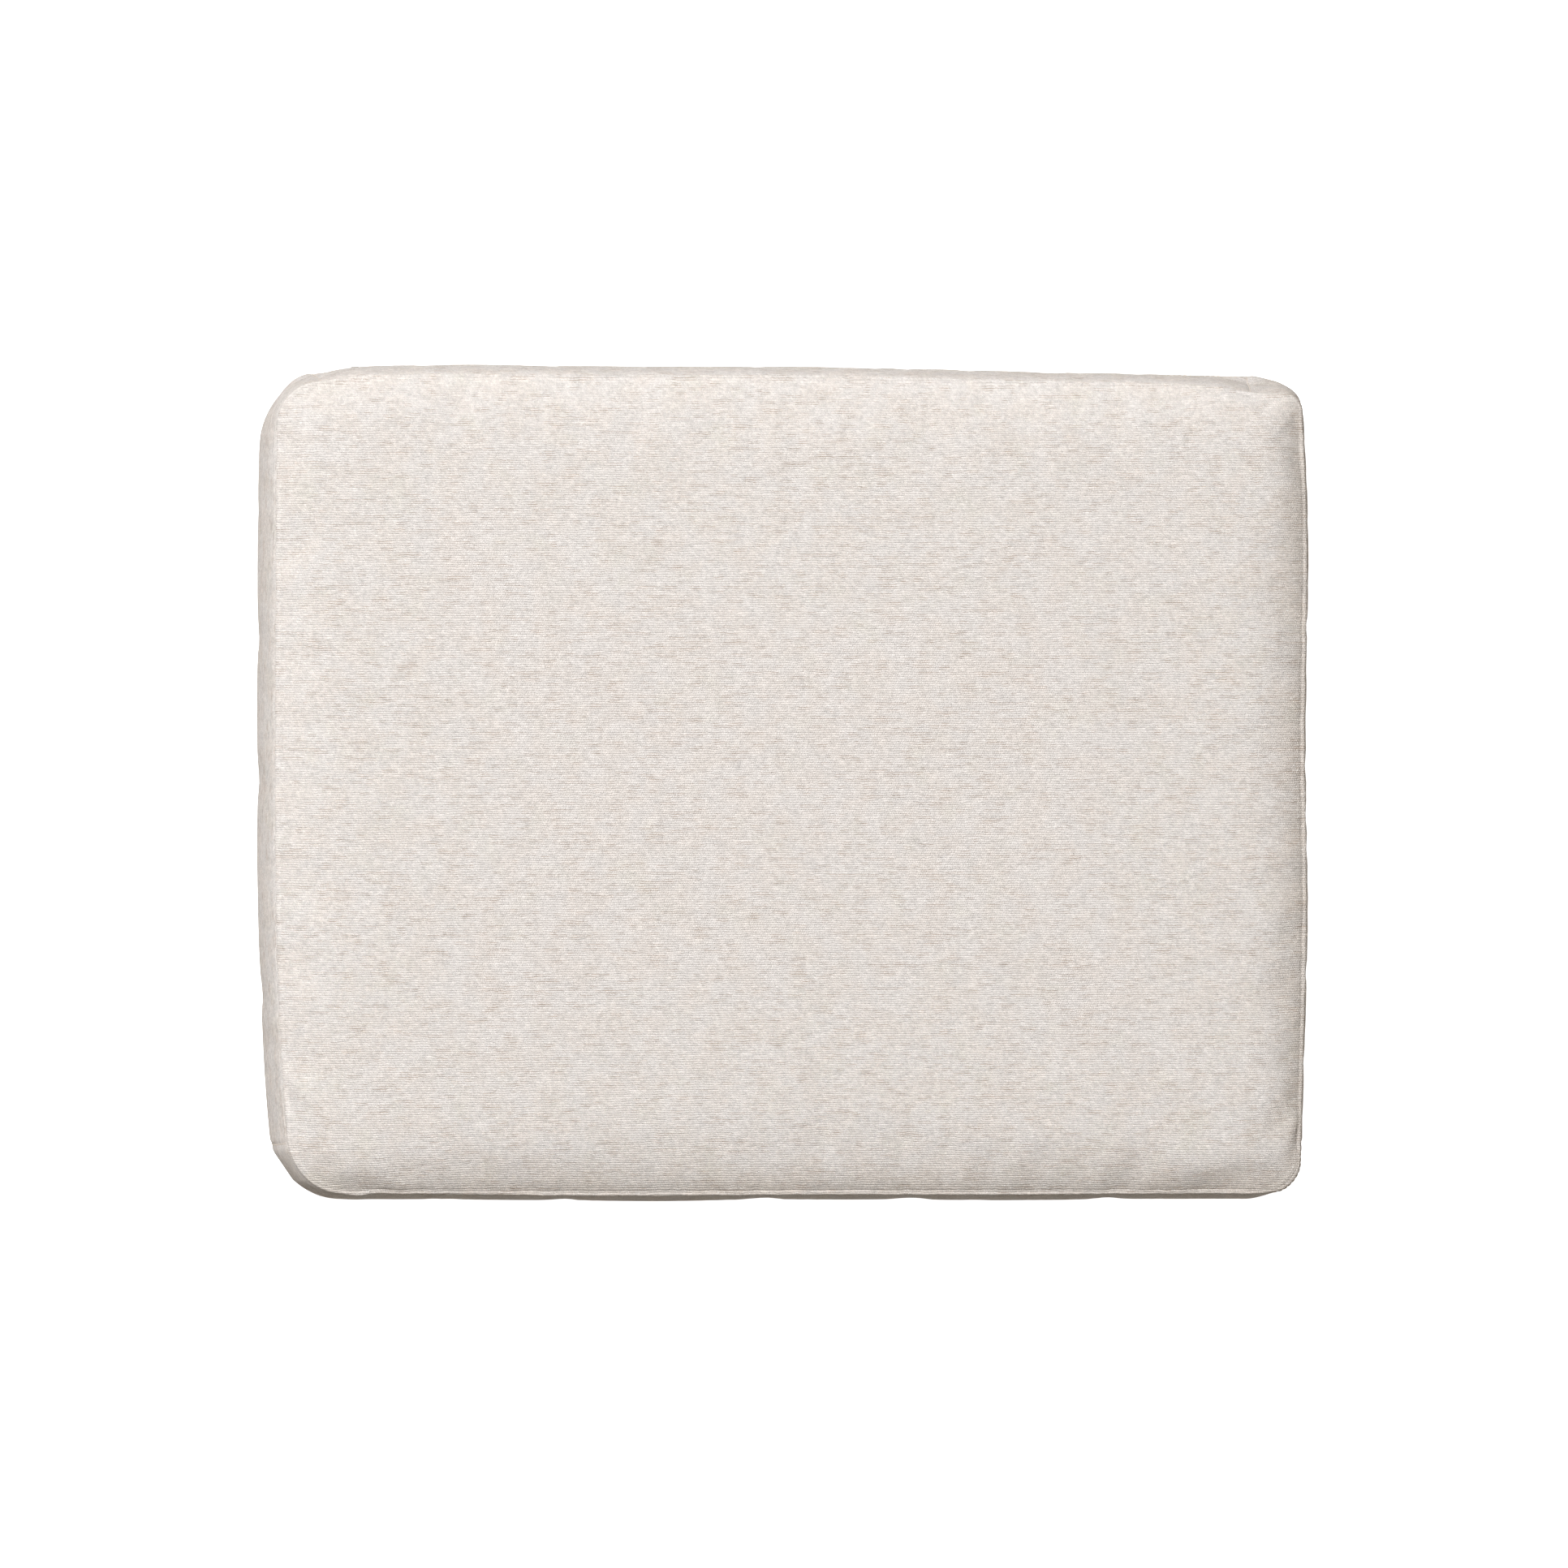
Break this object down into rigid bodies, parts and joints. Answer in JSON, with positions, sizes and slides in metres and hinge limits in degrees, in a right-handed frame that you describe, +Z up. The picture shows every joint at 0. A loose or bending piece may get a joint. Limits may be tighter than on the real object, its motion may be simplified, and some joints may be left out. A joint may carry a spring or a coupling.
{
  "type": "chair seat pad",
  "caption": "Loose rectangular chair seat pad: ribbed woven box-cushion cover with a rear zip, over a lined, fibre-wrapped foam insert.",
  "frame": {"origin": "on the flat underside, in the middle of the pad with its zip slider", "axes": "+X along the long side to the right seen from the front, +Y to the rear, where the zip is, +Z up"},
  "size_m": [0.6, 0.4752, 0.1],
  "materials": {
    "cover_fabric": "matte",
    "sewing_thread": "satin",
    "zip_tape": "matte",
    "zip_coil": "satin",
    "zip_metal": "satin",
    "label_satin": "satin",
    "liner_cloth": "matte",
    "fibre_wadding": "matte",
    "foam": "matte"
  },
  "bodies": {
    "pad": {"top_panel": "cover_fabric", "bottom_panel": "cover_fabric", "front_boxing": "cover_fabric", "left_boxing": "cover_fabric", "right_boxing": "cover_fabric", "rear_boxing_upper": "cover_fabric", "rear_boxing_lower": "cover_fabric", "top_seam_thread": "sewing_thread", "bottom_seam_thread": "sewing_thread", "upright_seam_threads": "sewing_thread", "zip_topstitching": "sewing_thread", "zip_tape_upper": "zip_tape", "zip_tape_lower": "zip_tape", "zip_coil_upper": "zip_coil", "zip_coil_lower": "zip_coil", "zip_top_stops": "zip_metal", "zip_bottom_stop": "zip_metal", "care_label": "label_satin", "liner_top": "liner_cloth", "liner_boxing": "liner_cloth", "liner_bottom": "liner_cloth", "liner_seam_threads": "sewing_thread", "fibre_wrap_top": "fibre_wadding", "fibre_wrap_bottom": "fibre_wadding", "foam_core": "foam"},
    "slider": {"zip_slider": "zip_metal"},
    "pull": {"zip_pull_tab": "zip_metal"}
  },
  "joints": [
    {"name": "zip_slide", "type": "slide", "parent": "pad", "child": "slider", "axis": [1, 0, 0], "range_m": [0, 0.489]},
    {"name": "pull_hinge", "type": "hinge", "parent": "slider", "child": "pull", "pos_m": [-0.245, 0.23528, 0.05], "axis": [0, 0, 1], "range_deg": [0, 175]}
  ]
}
